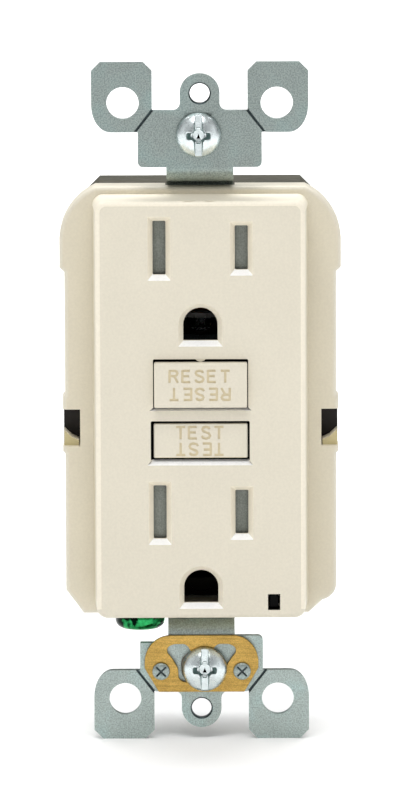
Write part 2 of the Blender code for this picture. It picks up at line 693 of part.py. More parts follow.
def sensing_electronics():
    spool = [(2.8, 12.4), (9.4, 12.4), (9.4, 12.9), (4.1, 12.9), (4.1, 19.2), (9.4, 19.2),
             (9.4, 19.7), (2.8, 19.7)]
    finish("toroid_housing", turned("Y", (0, TOROID_Z), spool, 20, ring=True), "dark_plastic")
    for name, low in (("neutral_toroid", 13.2), ("sensing_toroid", 16.2)):
        finish(name, washer("Y", (0, TOROID_Z), 4.5, 9.0, low, low + 2.6), "ferrite")
    board = prism("Y", rectangle(12.2, 28.8), *BOARD_Y)
    finish("circuit_board", board, "board")
    finish("capacitor", disc("Z", (-8.6, 16.6), 3.0, 12.0, 22.0, 16), "white_plastic")
    finish("varistor", disc("Z", (8.9, 16.6), 3.1, 25.0, 27.6, 16), "brown_plastic")
    finish("thyristor", block((6.9, 10.9), (16.5, 20.1), (13.0, 18.0)), "dark_plastic")
    finish("control_chip", block((-10.5, -5.7), (18.3, 20.1), (24.2, 28.8)), "dark_plastic")


def clear_scene():
    for obj in list(bpy.data.objects):
        bpy.data.objects.remove(obj)


def main():
    clear_scene()
    front_cover()
    buttons()
    indicator()
    mounting_strap()
    grounding_clip()
    mounting_screws()
    ground_screw()
    middle_housing()
    rear_housing()
    assembly_screws()
    terminals()
    contacts()
    reset_mechanism()
    solenoid()
    test_mechanism()
    sensing_electronics()


main()
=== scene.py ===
"""Looks of the duplex ground-fault receptacle: finished pieces, surfaces, light and camera."""
import json
import math

import bmesh
import bpy
from mathutils import Matrix, Vector


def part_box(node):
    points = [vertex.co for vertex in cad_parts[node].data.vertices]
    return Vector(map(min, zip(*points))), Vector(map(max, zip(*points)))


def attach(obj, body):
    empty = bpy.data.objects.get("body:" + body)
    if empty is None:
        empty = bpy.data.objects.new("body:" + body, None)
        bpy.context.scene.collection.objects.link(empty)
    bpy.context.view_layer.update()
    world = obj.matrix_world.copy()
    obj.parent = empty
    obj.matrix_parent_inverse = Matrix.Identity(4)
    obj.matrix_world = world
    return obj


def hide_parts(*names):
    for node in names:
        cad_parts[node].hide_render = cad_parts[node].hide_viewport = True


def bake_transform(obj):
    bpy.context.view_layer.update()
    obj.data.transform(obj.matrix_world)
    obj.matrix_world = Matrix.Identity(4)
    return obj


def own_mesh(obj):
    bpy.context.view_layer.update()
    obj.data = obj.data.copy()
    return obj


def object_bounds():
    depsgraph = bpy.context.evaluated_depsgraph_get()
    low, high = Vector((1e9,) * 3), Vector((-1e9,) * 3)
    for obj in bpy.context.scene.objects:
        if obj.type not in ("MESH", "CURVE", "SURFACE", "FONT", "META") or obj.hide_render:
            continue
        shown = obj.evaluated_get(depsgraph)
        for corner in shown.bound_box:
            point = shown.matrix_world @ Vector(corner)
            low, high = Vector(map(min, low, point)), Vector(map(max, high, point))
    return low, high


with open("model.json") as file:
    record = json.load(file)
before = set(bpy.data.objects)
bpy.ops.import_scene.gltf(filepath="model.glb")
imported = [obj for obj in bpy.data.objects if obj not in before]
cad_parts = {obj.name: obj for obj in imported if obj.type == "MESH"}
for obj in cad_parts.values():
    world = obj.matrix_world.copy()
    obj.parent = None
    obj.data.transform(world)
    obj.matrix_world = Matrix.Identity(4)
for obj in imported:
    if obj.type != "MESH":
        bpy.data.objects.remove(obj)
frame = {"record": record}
cad_box = [list(corner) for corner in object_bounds()]

MM = 0.001
RECORD = frame["record"]
BODY = {node: body for body, nodes in RECORD["behaviour"]["bodies"].items() for node in nodes}
SLOT = {piece["node"]: piece["material_slot"] for piece in RECORD["subparts"]}
SIDES = {"hot": 1, "neutral": -1}


def span(node):
    """A node's box as three (low, high) pairs in millimetres."""
    low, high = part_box(node)
    return [(a / MM, b / MM) for a, b in zip(low, high)]


def centre(node):
    """The middle of a node's box, in millimetres."""
    return [sum(pair) / 2 for pair in span(node)]


# ---------------------------------------------------------------- outlines and solids, in millimetres

def arc(middle, radius, start, end, steps):
    """Points on an arc, from one angle to another in degrees."""
    points = []
    for i in range(steps + 1):
        angle = math.radians(start + (end - start) * i / steps)
        points.append((middle[0] + radius * math.cos(angle), middle[1] + radius * math.sin(angle)))
    return points


def rounded_box(half_u, half_v, radius, middle=(0, 0), steps=6):
    points = []
    for quarter, (su, sv) in enumerate(((1, 1), (-1, 1), (-1, -1), (1, -1))):
        corner = (middle[0] + su * (half_u - radius), middle[1] + sv * (half_v - radius))
        points += arc(corner, radius, 90 * quarter, 90 * quarter + 90, steps)
    return points


def rectangle(half_u, half_v, middle=(0, 0)):
    u, v = middle
    return [(u + half_u, v + half_v), (u - half_u, v + half_v),
            (u - half_u, v - half_v), (u + half_u, v - half_v)]


def cut_corner_box(half_u, low, high, corner):
    points = [(half_u, high - corner), (half_u - corner, high)]
    points += [(corner - half_u, high), (-half_u, high - corner)]
    points += [(-half_u, low + corner), (corner - half_u, low)]
    return points + [(half_u - corner, low), (half_u, low + corner)]


def rounded_path(points, radius, steps=4):
    """Closed outline with each corner rounded by up to the given radius."""
    result = []
    count = len(points)
    for i in range(count):
        before, here, after = Vector(points[i - 1]), Vector(points[i]), Vector(points[(i + 1) % count])
        a, b = before - here, after - here
        reach = min(radius, a.length / 2.2, b.length / 2.2)
        first, last = here + a.normalized() * reach, here + b.normalized() * reach
        for k in range(steps + 1):
            t = k / steps
            point = first * (1 - t) ** 2 + here * (2 * t * (1 - t)) + last * t ** 2
            result.append((point.x, point.y))
    return result


def ribbon(path, thickness):
    """Outline of a strip of even thickness along an open path."""
    sides = ([], [])
    for i, here in enumerate(path):
        before = Vector(path[max(i - 1, 0)])
        after = Vector(path[min(i + 1, len(path) - 1)])
        along = (after - before).normalized()
        normal = Vector((-along.y, along.x))
        if 0 < i < len(path) - 1:
            first = (Vector(here) - before).normalized()
            normal /= max(normal.dot(Vector((-first.y, first.x))), 0.5)
        for side, sign in zip(sides, (1, -1)):
            offset = Vector(here) + normal * (sign * thickness / 2)
            side.append((offset.x, offset.y))
    return sides[0] + sides[1][::-1]


def place(axis, u, v, w):
    """A point at w along the axis, with u and v across it."""
    return {"X": (w, u, v), "Y": (u, w, v), "Z": (u, v, w)}[axis]


def solid(bm):
    """Weld a bmesh and turn it into an object."""
    bmesh.ops.remove_doubles(bm, verts=bm.verts, dist=1e-4)
    bmesh.ops.recalc_face_normals(bm, faces=bm.faces)
    mesh = bpy.data.meshes.new("shape")
    bm.to_mesh(mesh)
    bm.free()
    obj = bpy.data.objects.new("shape", mesh)
    bpy.context.scene.collection.objects.link(obj)
    return obj


def loft(axis, sections):
    """Solid through outlines that have the same number of points, each at its height."""
    bm = bmesh.new()
    rings = []
    for outline, height in sections:
        rings.append([bm.verts.new(place(axis, u, v, height)) for u, v in outline])
    for low, high in zip(rings, rings[1:]):
        for i in range(len(low)):
            j = (i + 1) % len(low)
            bm.faces.new((low[i], low[j], high[j], high[i]))
    bm.faces.new(rings[0])
    bm.faces.new(rings[-1])
    return solid(bm)


def prism(axis, outline, low, high):
    return loft(axis, [(outline, low), (outline, high)])


def block(x, y, z):
    outline = [(x[0], z[0]), (x[1], z[0]), (x[1], z[1]), (x[0], z[1])]
    return prism("Y", outline, y[0], y[1])


def turned(axis, middle, profile, sides=48, ring=False):
    """Solid of revolution of (radius, height) points; a ring has a hole through it."""
    bm = bmesh.new()
    rows = []
    for radius, height in profile:
        row = []
        for i in range(1 if radius == 0 else sides):
            angle = 2 * math.pi * (i + 0.5) / sides
            u = middle[0] + radius * math.cos(angle)
            v = middle[1] + radius * math.sin(angle)
            row.append(bm.verts.new(place(axis, u, v, height)))
        rows.append(row)
    pairs = list(zip(rows, rows[1:]))
    if ring:
        pairs.append((rows[-1], rows[0]))
    for low, high in pairs:
        for i in range(sides):
            j = (i + 1) % sides
            corners = [low[i % len(low)], low[j % len(low)], high[j % len(high)], high[i % len(high)]]
            unique = list(dict.fromkeys(corners))
            if len(unique) > 2:
                bm.faces.new(unique)
    return solid(bm)


def disc(axis, middle, radius, low, high, sides=40):
    return turned(axis, middle, [(0, low), (radius, low), (radius, high), (0, high)], sides)


PAST = 1                       # how far a cutter runs past a surface
FLAT_ANGLE, BREAK_ANGLE, SHARP_ANGLE = 0.3, 32, 35    # degrees: merged faces, bevelled and sharp edges


def applied(obj, kind, **settings):
    """Add a modifier and keep its result in the mesh."""
    modifier = obj.modifiers.new("step", kind)
    for key, value in settings.items():
        setattr(modifier, key, value)
    graph = bpy.context.evaluated_depsgraph_get()
    result = bpy.data.meshes.new_from_object(obj.evaluated_get(graph))
    obj.modifiers.clear()
    obj.data = result


def combine(target, tools, operation):
    for tool in tools:
        applied(target, "BOOLEAN", operation=operation, object=tool, solver="EXACT")
        bpy.data.objects.remove(tool)
    return target


def cut(target, *tools):
    return combine(target, tools, "DIFFERENCE")


def fuse(target, *tools):
    return combine(target, tools, "UNION")


def round_edges(obj, width, segments, chosen):
    """Round only the edges for which chosen(start, end) is true."""
    bm = bmesh.new()
    bm.from_mesh(obj.data)
    edges = [e for e in bm.edges if chosen(e.verts[0].co, e.verts[1].co) and len(e.link_faces) == 2
             and e.calc_face_angle(0) > 0.2]
    bmesh.ops.bevel(bm, geom=edges, offset=width, segments=segments, profile=0.5, affect="EDGES",
                    clamp_overlap=True)
    bm.to_mesh(obj.data)
    bm.free()


def soften(obj, width):
    """Break every sharp edge."""
    bm = bmesh.new()
    bm.from_mesh(obj.data)
    bmesh.ops.dissolve_limit(bm, angle_limit=math.radians(FLAT_ANGLE), verts=bm.verts, edges=bm.edges)
    bm.to_mesh(obj.data)
    bm.free()
    applied(obj, "BEVEL", width=width, segments=2, limit_method="ANGLE",
            angle_limit=math.radians(BREAK_ANGLE), use_clamp_overlap=True, miter_outer="MITER_ARC")


# ---------------------------------------------------------------- surfaces

def srgb(*values):
    """Linear colour from 8-bit display values."""
    linear = [v / 255 / 12.92 if v <= 10 else ((v / 255 + 0.055) / 1.055) ** 2.4 for v in values]
    return (*linear, 1.0)


def shade(colour, factor):
    return (*[min(channel * factor, 1) for channel in colour[:3]], 1.0)


class Surface:
    """A material being built from noise, ramps and bumps; lengths are in millimetres."""

    def __init__(self, name, roughness, metallic=0.0, **fixed):
        self.made = bpy.data.materials.new(name)
        self.made.use_nodes = True
        self.tree = self.made.node_tree
        self.shader = self.tree.nodes["Principled BSDF"]
        self.set("Roughness", roughness)
        self.set("Metallic", metallic)
        for key, value in fixed.items():
            self.set(key.replace("_", " "), value)
        self.height = None

    def set(self, key, value):
        self.shader.inputs[key].default_value = value

    def link(self, output, socket):
        self.tree.links.new(output, socket)

    def points(self, stretch=(1, 1, 1)):
        source = self.tree.nodes.new("ShaderNodeTexCoord")
        mapping = self.tree.nodes.new("ShaderNodeMapping")
        mapping.inputs["Scale"].default_value = [s / MM for s in stretch]
        self.link(source.outputs["Object"], mapping.inputs["Vector"])
        return mapping.outputs["Vector"]

    def along(self, axis, low, high):
        """0 to 1 between two positions along an axis."""
        split = self.tree.nodes.new("ShaderNodeSeparateXYZ")
        self.link(self.points(), split.inputs["Vector"])
        reach = self.tree.nodes.new("ShaderNodeMapRange")
        reach.inputs["From Min"].default_value = low
        reach.inputs["From Max"].default_value = high
        self.link(split.outputs[axis], reach.inputs["Value"])
        return reach.outputs["Result"]

    def noise(self, scale, detail=3.0, stretch=(1, 1, 1), distortion=0.0):
        node = self.tree.nodes.new("ShaderNodeTexNoise")
        node.inputs["Scale"].default_value = scale
        node.inputs["Detail"].default_value = detail
        node.inputs["Distortion"].default_value = distortion
        self.link(self.points(stretch), node.inputs["Vector"])
        return node.outputs["Fac"]

    def cells(self, scale):
        node = self.tree.nodes.new("ShaderNodeTexVoronoi")
        node.inputs["Scale"].default_value = scale
        self.link(self.points(), node.inputs["Vector"])
        split = self.tree.nodes.new("ShaderNodeSeparateColor")
        self.link(node.outputs["Color"], split.inputs["Color"])
        return split.outputs["Red"]

    def ramp(self, factor, *stops):
        node = self.tree.nodes.new("ShaderNodeValToRGB")
        points = node.color_ramp.elements
        while len(points) < len(stops):
            points.new(0.5)
        for element, (position, colour) in zip(points, stops):
            element.position = position
            element.color = colour if isinstance(colour, tuple) else (colour, colour, colour, 1.0)
        self.link(factor, node.inputs["Fac"])
        return node.outputs["Color"]

    def mix(self, first, second, factor, kind="MIX"):
        node = self.tree.nodes.new("ShaderNodeMix")
        node.data_type = "RGBA"
        node.blend_type = kind
        for value, key in ((first, "A"), (second, "B"), (factor, "Factor")):
            socket = node.inputs[key]
            if hasattr(value, "is_output"):
                self.link(value, socket)
            else:
                socket.default_value = value
        return node.outputs["Result"]

    def colour(self, output):
        self.link(output, self.shader.inputs["Base Color"])
        return self

    def rough(self, factor, low, high):
        self.link(self.ramp(factor, (0.3, low), (0.7, high)), self.shader.inputs["Roughness"])
        return self

    def bump(self, factor, depth, strength=1.0):
        node = self.tree.nodes.new("ShaderNodeBump")
        node.inputs["Distance"].default_value = depth * MM
        node.inputs["Strength"].default_value = strength
        self.link(factor, node.inputs["Height"])
        if self.height:
            self.link(self.height, node.inputs["Normal"])
        self.height = node.outputs["Normal"]
        self.link(self.height, self.shader.inputs["Normal"])
        return self


def plastic(name, colour, roughness, grain=1.0, spread=0.04, depth=0.012, shine=0.5, flange_shade=False):
    """Moulded plastic: faint flow marks, fine grain, uneven gloss; the last flag adds painted shade that
    yellows the cover towards its flange.
    """
    made = Surface(name, roughness, Specular_IOR_Level=shine)
    flow = made.noise(0.09, 2.0)
    tint = made.ramp(flow, (0.3, shade(colour, 1 - spread)), (0.7, shade(colour, 1 + spread)))
    fine = made.noise(2.6 * grain, 3.0)
    speck = made.ramp(fine, (0.35, 0.955), (0.65, 1.0))
    if flange_shade:
        # Painted shade and bounce light: yellower and darker from the face back towards the flange, clearing
        # on the flange's rounded outer edge.
        depths = made.along("Y", -8, 4)
        flange_shade_tint = made.ramp(depths, (0.15, 1.0), (0.7, (0.95, 0.92, 0.82, 1.0)), (0.735, 0.97), (0.77, 1.0))
        tint = made.mix(tint, flange_shade_tint, 1.0, "MULTIPLY")
    made.colour(made.mix(tint, speck, 1.0, "MULTIPLY"))
    made.rough(made.noise(0.6, 4.0), roughness - 0.05, roughness + 0.07)
    made.bump(fine, depth, 0.5)
    return made.made


COOL_TINT = (0.95, 1.02, 1.03)


def zinc(name, colour, roughness, spread=0.06, top_factor=1.0):
    """Dull zinc plate with soft mottling, spangle and rolling lines; the last argument scales the colour of
    the upper half.
    """
    made = Surface(name, roughness, 1.0)
    cloud = made.noise(0.16, 3.0, distortion=0.4)
    cool = (*[min(c * t * (1 + spread), 1) for c, t in zip(colour, COOL_TINT)], 1.0)
    base = made.ramp(cloud, (0.32, shade(colour, 1 - spread)), (0.5, colour), (0.68, cool))
    spangle = made.ramp(made.cells(4.0), (0.0, 0.95), (1.0, 1.0))
    base = made.mix(base, spangle, 1.0, "MULTIPLY")
    # Darker towards the top.
    top_fade = made.ramp(made.along("Z", -50, 50), (0.3, 1.0), (0.8, top_factor))
    base = made.mix(base, top_fade, 1.0, "MULTIPLY")
    pits = made.ramp(made.noise(4.6, 3.0), (0.4, 0.68), (0.58, 1.0))
    made.colour(made.mix(base, pits, 1.0, "MULTIPLY"))
    made.rough(made.noise(1.1, 4.0), roughness - 0.05, roughness + 0.08)
    made.bump(made.noise(2.2, 4.0), 0.02, 0.5)
    made.bump(made.noise(3.0, 2.0, stretch=(1, 1, 0.08)), 0.008, 0.4)
    return made.made


def brushed(name, colour, roughness, stretch, spread=0.18):
    """Sheet metal brushed along one direction."""
    made = Surface(name, roughness, 1.0)
    lines = made.noise(4.0, 6.0, stretch=stretch)
    cloud = made.noise(0.22, 3.0)
    base = made.ramp(lines, (0.3, shade(colour, 1 - spread)), (0.7, shade(colour, 1 + spread * 0.6)))
    stain = made.ramp(cloud, (0.35, 0.84), (0.62, 1.0))
    base = made.mix(base, stain, 1.0, "MULTIPLY")
    grain = made.ramp(made.noise(6.0, 2.0), (0.38, 0.74), (0.6, 1.0))
    made.colour(made.mix(base, grain, 1.0, "MULTIPLY"))
    made.rough(lines, roughness - 0.06, roughness + 0.1)
    made.bump(lines, 0.012, 0.6)
    return made.made


def plated(name, colour, roughness, spread=0.1):
    """Bright plate on a cold-headed screw: fine handling marks and uneven gloss."""
    made = Surface(name, roughness, 1.0)
    cloud = made.noise(0.7, 4.0, distortion=0.8)
    made.colour(made.ramp(cloud, (0.3, shade(colour, 1 - spread)), (0.7, shade(colour, 1 + spread))))
    made.rough(made.noise(2.4, 5.0), roughness - 0.05, roughness + 0.12)
    made.bump(made.noise(1.3, 4.0), 0.012, 0.5)
    return made.made


def reflection_patched(name, colour, dark, roughness):
    """Green-dyed bright plate, with dark patches painted in as reflection of a dark surround."""
    made = Surface(name, roughness, 1.0)
    cloud = made.noise(0.34, 3.0, distortion=1.1)
    # Painted reflection: dark patches between the bright green ones.
    painted_reflection = made.ramp(cloud, (0.46, dark), (0.52, shade(colour, 0.7)), (0.6, colour))
    fine = made.ramp(made.noise(1.6, 4.0), (0.3, 0.7), (0.6, 1.0))
    made.colour(made.mix(painted_reflection, fine, 1.0, "MULTIPLY"))
    made.rough(made.noise(2.4, 5.0), roughness - 0.04, roughness + 0.12)
    made.bump(cloud, 0.1, 0.8)
    return made.made


def fibrous(name, colour):
    """Pressed vulcanised fibre."""
    made = Surface(name, 0.75)
    threads = made.noise(1.6, 6.0, stretch=(1, 1, 0.3), distortion=1.2)
    made.colour(made.ramp(threads, (0.3, shade(colour, 0.86)), (0.7, shade(colour, 1.06))))
    made.rough(threads, 0.65, 0.85)
    made.bump(threads, 0.03, 0.7)
    return made.made


def wound(name, colour):
    """Enamelled wire lying in turns along the coil, with painted shade in the grooves between the turns."""
    made = Surface(name, 0.3, 1.0)
    waves = made.tree.nodes.new("ShaderNodeTexWave")
    waves.bands_direction = "Z"
    waves.inputs["Scale"].default_value = 1.6
    waves.inputs["Distortion"].default_value = 0.6
    made.link(made.points(), waves.inputs["Vector"])
    made.colour(made.ramp(waves.outputs["Fac"], (0.0, shade(colour, 0.45)), (0.5, colour)))
    made.rough(made.noise(1.2, 3.0), 0.25, 0.4)
    made.bump(waves.outputs["Fac"], 0.1, 0.8)
    return made.made


def laminate(name, colour):
    """Circuit board: solder mask over a faint glass weave and tracks."""
    made = Surface(name, 0.35)
    weave = made.noise(2.4, 2.0, stretch=(1, 1, 0.2))
    tracks = made.ramp(made.cells(0.28), (0.45, shade(colour, 0.8)), (0.55, shade(colour, 1.7)))
    fine = made.ramp(weave, (0.3, 0.85), (0.7, 1.0))
    made.colour(made.mix(tracks, fine, 1.0, "MULTIPLY"))
    made.rough(weave, 0.3, 0.45)
    made.bump(weave, 0.01, 0.5)
    return made.made


ALMOND = srgb(221, 214, 196)
SURFACES = {
    "almond_plastic": plastic("almond_plastic_look", ALMOND, 0.42, spread=0.015, depth=0.006),
    # The cover's copy carries painted shade on its flange.
    "almond_cover": plastic("almond_cover_look", ALMOND, 0.42, spread=0.015, depth=0.006, flange_shade=True),
    "shaded_almond": plastic("shaded_almond_look", srgb(196, 184, 140), 0.5, spread=0.05),
    # Lighter copies of the almond: painted highlights on faces that catch the light from above.
    "painted_highlight_almond": plastic("polished_almond_look", srgb(253, 253, 252), 0.3, spread=0.01, depth=0.003),
    "soft_highlight_almond": plastic("pale_almond_look", srgb(240, 232, 213), 0.4, spread=0.01, depth=0.003),
    # Darker tan: painted shade on the floors of the button letters.
    "letter_shade": plastic("engraved_almond_look", srgb(214, 201, 168), 0.6, spread=0.03),
    # Near black: painted shadow for gaps, button sides and pits.
    "gap_shadow": plastic("deep_gap_look", srgb(14, 11, 8), 0.8, spread=0.2, shine=0.1),
    "lamp": plastic("smoked_window_look", srgb(3, 3, 3), 0.5, spread=0.2, depth=0.004, shine=0.1),
    "white_plastic": plastic("white_plastic_look", srgb(222, 221, 214), 0.45),
    "brown_plastic": plastic("brown_phenolic_look", srgb(24, 19, 17), 0.55, 0.6, spread=0.12, shine=0.3),
    "dark_plastic": plastic("dark_phenolic_look", srgb(66, 64, 51), 0.6, 0.6,
                            spread=0.25, depth=0.02, shine=0.2),
    "galvanised_steel": zinc("dull_zinc_look", srgb(189, 202, 198), 0.42, top_factor=0.76),
    "plated_steel": plated("bright_zinc_look", srgb(220, 229, 230), 0.27),
    "shaded_steel": zinc("shaded_zinc_look", srgb(78, 88, 90), 0.45, spread=0.15),
    # Darker plate: painted shade on the walls of the screw recesses.
    "recess_shade_steel": plated("recess_zinc_look", srgb(132, 150, 148), 0.35, spread=0.25),
    "green_steel": reflection_patched("green_zinc_look", srgb(52, 176, 100), srgb(4, 22, 14), 0.14),
    "brass": brushed("satin_brass_look", srgb(216, 177, 97), 0.36, (0.07, 1, 1), spread=0.26),
    "shaded_brass": brushed("tarnished_brass_look", srgb(30, 26, 22), 0.6, (0.07, 1, 1)),
    "tinned": brushed("tinned_contact_look", srgb(146, 150, 142), 0.5, (1, 1, 0.1)),
    "copper_wire": wound("enamelled_copper_look", srgb(190, 104, 58)),
    "fibre": fibrous("vulcanised_fibre_look", srgb(244, 230, 216)),
    "ferrite": plastic("ferrite_look", srgb(52, 52, 56), 0.55, 0.5, spread=0.2, depth=0.03),
    "board": laminate("circuit_board_look", srgb(24, 84, 46)),
}


def dress(obj, node, surface=None, pivot=(0, 0, 0), extra=()):
    """Turn a shape in millimetres into the finished piece that stands for a CAD node."""
    obj.name = node + "_finished"
    obj.data.name = obj.name
    obj.data.transform(Matrix.Scale(MM, 4) @ Matrix.Translation(-Vector(pivot)))
    obj.location = Vector(pivot) * MM
    obj.data.materials.clear()
    for name in (surface or SLOT[node], *extra):
        obj.data.materials.append(SURFACES[name])
    obj.data.shade_smooth()
    obj.data.set_sharp_from_angle(angle=math.radians(SHARP_ANGLE))
    applied(obj, "WEIGHTED_NORMAL", keep_sharp=True)
    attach(obj, BODY[node])
    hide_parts(node)


def second_surface(obj, chosen):
    """Give the second material to each face whose middle, in millimetres, and normal are chosen."""
    for polygon in obj.data.polygons:
        if chosen(polygon.center / MM, polygon.normal):
            polygon.material_index = 1


# ---------------------------------------------------------------- cover

FACE_Y = span("front_cover")[1][0]
SEAM = 0.02                    # the cover and the rear housing close on the middle housing
COVER_BACK_Y = span("middle_housing")[1][0] - SEAM
FLANGE_BOTTOM = span("front_cover")[2][0]
FLANGE_HALF_X = span("front_cover")[0][1]
FLANGE_Y = FACE_Y + 8.7
FACE_HALF_X, FACE_DRAFT, FACE_TOP, FACE_BOTTOM, FACE_CORNER = 16.8, 0.6, 32.5, -33.0, 1.7
FACE_WALL, FACE_SIDE_WALL = 1.8, 1.4
CHAMFER_WIDTH, CHAMFER_DEPTH = 0.78, 1.2
BLADE_X = 6.35
BLADE_SLOTS = ((-BLADE_X, (1.0, 4.2)), (BLADE_X, (1.0, 3.45)))    # middle, half width and half height
GROUND_RADIUS, GROUND_DROP = 2.65, 2.5      # arch of a ground hole, and its middle's height above the flat
GROUND_Z = (centre("ground_contact_top")[2], centre("ground_contact_bottom")[2])
BLADE_Z = (GROUND_Z[0] + 12.0, GROUND_Z[1] + 11.8)
RESET, TEST = centre("reset_pin"), centre("test_button")
WINDOW = centre("indicator_lens")
BUTTON_OPENINGS = (                         # half width, bottom, top, middle, height of the slope below
    (7.36, RESET[2] - 3.66, RESET[2] + 3.95, 0, 0.5),
    (7.66, TEST[2] - 3.06, TEST[2] + 3.1, -0.08, 0.85))
NOTCH_X, NOTCH_Z = 18.8, (-7.2, -1.35)
RAMP_Y = FLANGE_Y + 1.3                     # front of the ramp, painted in shade, at the foot of each side notch
RAMP = ((19.0, -6.4), (20.1, -5.9), (21.3, -4.8), (21.3, -7.3), (19.0, -7.3))
NECK_SLOT_HALF_X = 5.4                      # where the strap comes through
BRIGHT_HIGHLIGHT, SOFT_HIGHLIGHT, SHADED = 2, 3, 4            # the cover's painted highlights and painted shade, after its painted gap shadow


def flange_outline():
    """Flange seen from the front, with its rounded shoulders and side steps."""
    right = arc((12.4, 24.9), 9.53, 66, 4.5, 16)
    right += [(FLANGE_HALF_X, 20.9), (21.15, 20.2), (21.15, 0.9), (21.5, 0.5), (21.5, -8.0), (21.15, -8.4)]
    left = [(-x, z) for x, z in reversed(right)]
    lower_right = arc((18.5, -29.1), 2.65, 0, -80, 8) + [(16.8, FLANGE_BOTTOM)]
    lower_left = [(-18.4, FLANGE_BOTTOM), (-21.15, -30.0)]
    return right + lower_right + lower_left + left


def ground_outline(z, grow):
    """Arched ground hole, grown by an even margin."""
    radius = GROUND_RADIUS + grow
    low = z - GROUND_DROP - grow
    return arc((0, z), radius, 0, 180, 28) + [(-radius, low), (radius, low)]


def mouthed(outline_at):
    """Cutters for an opening through the face: the hole and its chamfered mouth."""
    return (prism("Y", outline_at(0), FACE_Y - PAST, 0),
            loft("Y", [(outline_at(2 * CHAMFER_WIDTH), FACE_Y - CHAMFER_DEPTH),
                       (outline_at(0), FACE_Y + CHAMFER_DEPTH)]))


FACE_MIDDLE = (0, (FACE_TOP + FACE_BOTTOM) / 2)
FACE_HALF_Z = (FACE_TOP - FACE_BOTTOM) / 2


def face_outline(draft, drop):
    return rounded_box(FACE_HALF_X - draft, FACE_HALF_Z - drop, FACE_CORNER, FACE_MIDDLE, 8)


def button_opening(half_x, low, high, x, slope):
    """Cutters for a button's opening and the wider slope along its lower edge."""
    opening = rounded_box(half_x, (high - low) / 2, 0.2, (x, (low + high) / 2), 3)
    mouth = [(x - half_x - 0.6, low - slope), (x + half_x + 0.6, low - slope),
             (x + half_x - 0.1, low + 0.17), (x - half_x + 0.1, low + 0.17)]
    foot = [(x - half_x + 0.3, low + 0.03), (x + half_x - 0.3, low + 0.03),
            (x + half_x - 0.3, low + 0.13), (x - half_x + 0.3, low + 0.13)]
    return (prism("Y", opening, FACE_Y - PAST, 0),
            loft("Y", [(mouth, FACE_Y - 0.1), (foot, FACE_Y + CHAMFER_DEPTH)]))


def paint_cover(body):
    """Painted highlights on the mouths and on the face's upper and outer edges, painted shade on the ramps,
    and painted shadow on the walls behind the openings.
    """
    for polygon in body.data.polygons:
        x, y, z = polygon.center / MM
        normal = polygon.normal
        depth = y - FACE_Y
        on_mouth = 0.3 < depth < 0.9 and -0.95 < normal.y < -0.3 and abs(x) < 12 and -32 < z < 31
        on_top = (z > FACE_TOP - 2.2 and abs(x) < FACE_HALF_X + 0.1 and y < FLANGE_Y - 0.2
                  and normal.z > 0.02)
        on_edge = y < FACE_Y + 0.75 and abs(x) > 15 and z > -31.5 and normal.y > -0.99
        # Upward mouth slopes get a bright painted highlight; the other mouth faces and the face's top and
        # outer edges get a softer one.
        if on_mouth:
            polygon.material_index = BRIGHT_HIGHLIGHT if normal.z > 0.5 else SOFT_HIGHLIGHT
        elif on_top or on_edge:
            polygon.material_index = SOFT_HIGHLIGHT
        elif abs(y - RAMP_Y) < 0.05:
            polygon.material_index = SHADED
    # The walls behind the openings and the window get painted shadow.
    openings = ((0, RESET[2], 7.9, 3.9), (0, TEST[2], 7.9, 3.15), (WINDOW[0], WINDOW[2], 1.1, 1.4))
    second_surface(body, lambda middle, normal: middle.y > FACE_Y + 0.2 and abs(normal.y) < 0.3 and any(
        abs(middle.x - x) < half_x and abs(middle.z - z) < half_z for x, z, half_x, half_z in openings))


def cover():
    """Flange and raised face, with the outlets, button openings, window, notches and strap slots."""
    behind = COVER_BACK_Y + PAST
    flange = prism("Y", flange_outline(), FLANGE_Y, COVER_BACK_Y)
    round_edges(flange, 0.75, 3, lambda a, b: max(a.y, b.y) < FLANGE_Y + 0.01)
    face = loft("Y", [(face_outline(FACE_DRAFT, 0.1), FACE_Y), (face_outline(0, 0), FLANGE_Y + 1)])
    round_edges(face, 0.7, 4, lambda a, b: max(a.y, b.y) < FACE_Y + 0.01)
    body = fuse(flange, face)
    inside = rectangle(FACE_HALF_X - FACE_DRAFT - FACE_SIDE_WALL, FACE_HALF_Z - FACE_WALL, FACE_MIDDLE)
    cut(body, prism("Y", inside, FACE_Y + FACE_WALL, behind))
    for z in BLADE_Z:
        for x, half in BLADE_SLOTS:
            cut(body, *mouthed(lambda grow, x=x, z=z, half=half: rounded_box(
                half[0] + grow, half[1] + grow, 0.18, (x, z), 3)))
    for z in GROUND_Z:
        cut(body, *mouthed(lambda grow, z=z: ground_outline(z, grow)))
    for opening in BUTTON_OPENINGS:
        cut(body, *button_opening(*opening))
    tab = disc("Y", (0, RESET[2] + 4.55), 1.0, FACE_Y + 0.1, FACE_Y + 1.0)
    fuse(body, tab)
    cut(body, prism("Y", rectangle(0.95, 1.25, (WINDOW[0], WINDOW[2])), FACE_Y - PAST, FACE_Y + 3.4))
    for x in (-1.82, 1.42):
        cut(body, disc("Y", (x, FACE_TOP + 4.95), 5.2, FACE_Y - PAST, FACE_Y + 1.1, 96))
    for side in (1, -1):
        cut(body, block(sorted((side * NOTCH_X, side * 23)), (FLANGE_Y - PAST, behind), NOTCH_Z))
        cut(body, block((-NECK_SLOT_HALF_X, NECK_SLOT_HALF_X), (3.0, behind), sorted((side * 30, side * 36))))
    cut(body, block((-14.0, -5.4), (-0.8, behind), (-36, -30.5)))
    for side in (1, -1):
        fuse(body, prism("Y", [(side * x, z) for x, z in RAMP], RAMP_Y, COVER_BACK_Y - 0.3))
    dress(body, "front_cover", "almond_cover",
          extra=("gap_shadow", "painted_highlight_almond", "soft_highlight_almond", "shaded_almond"))
    paint_cover(body)


# ---------------------------------------------------------------- buttons and window

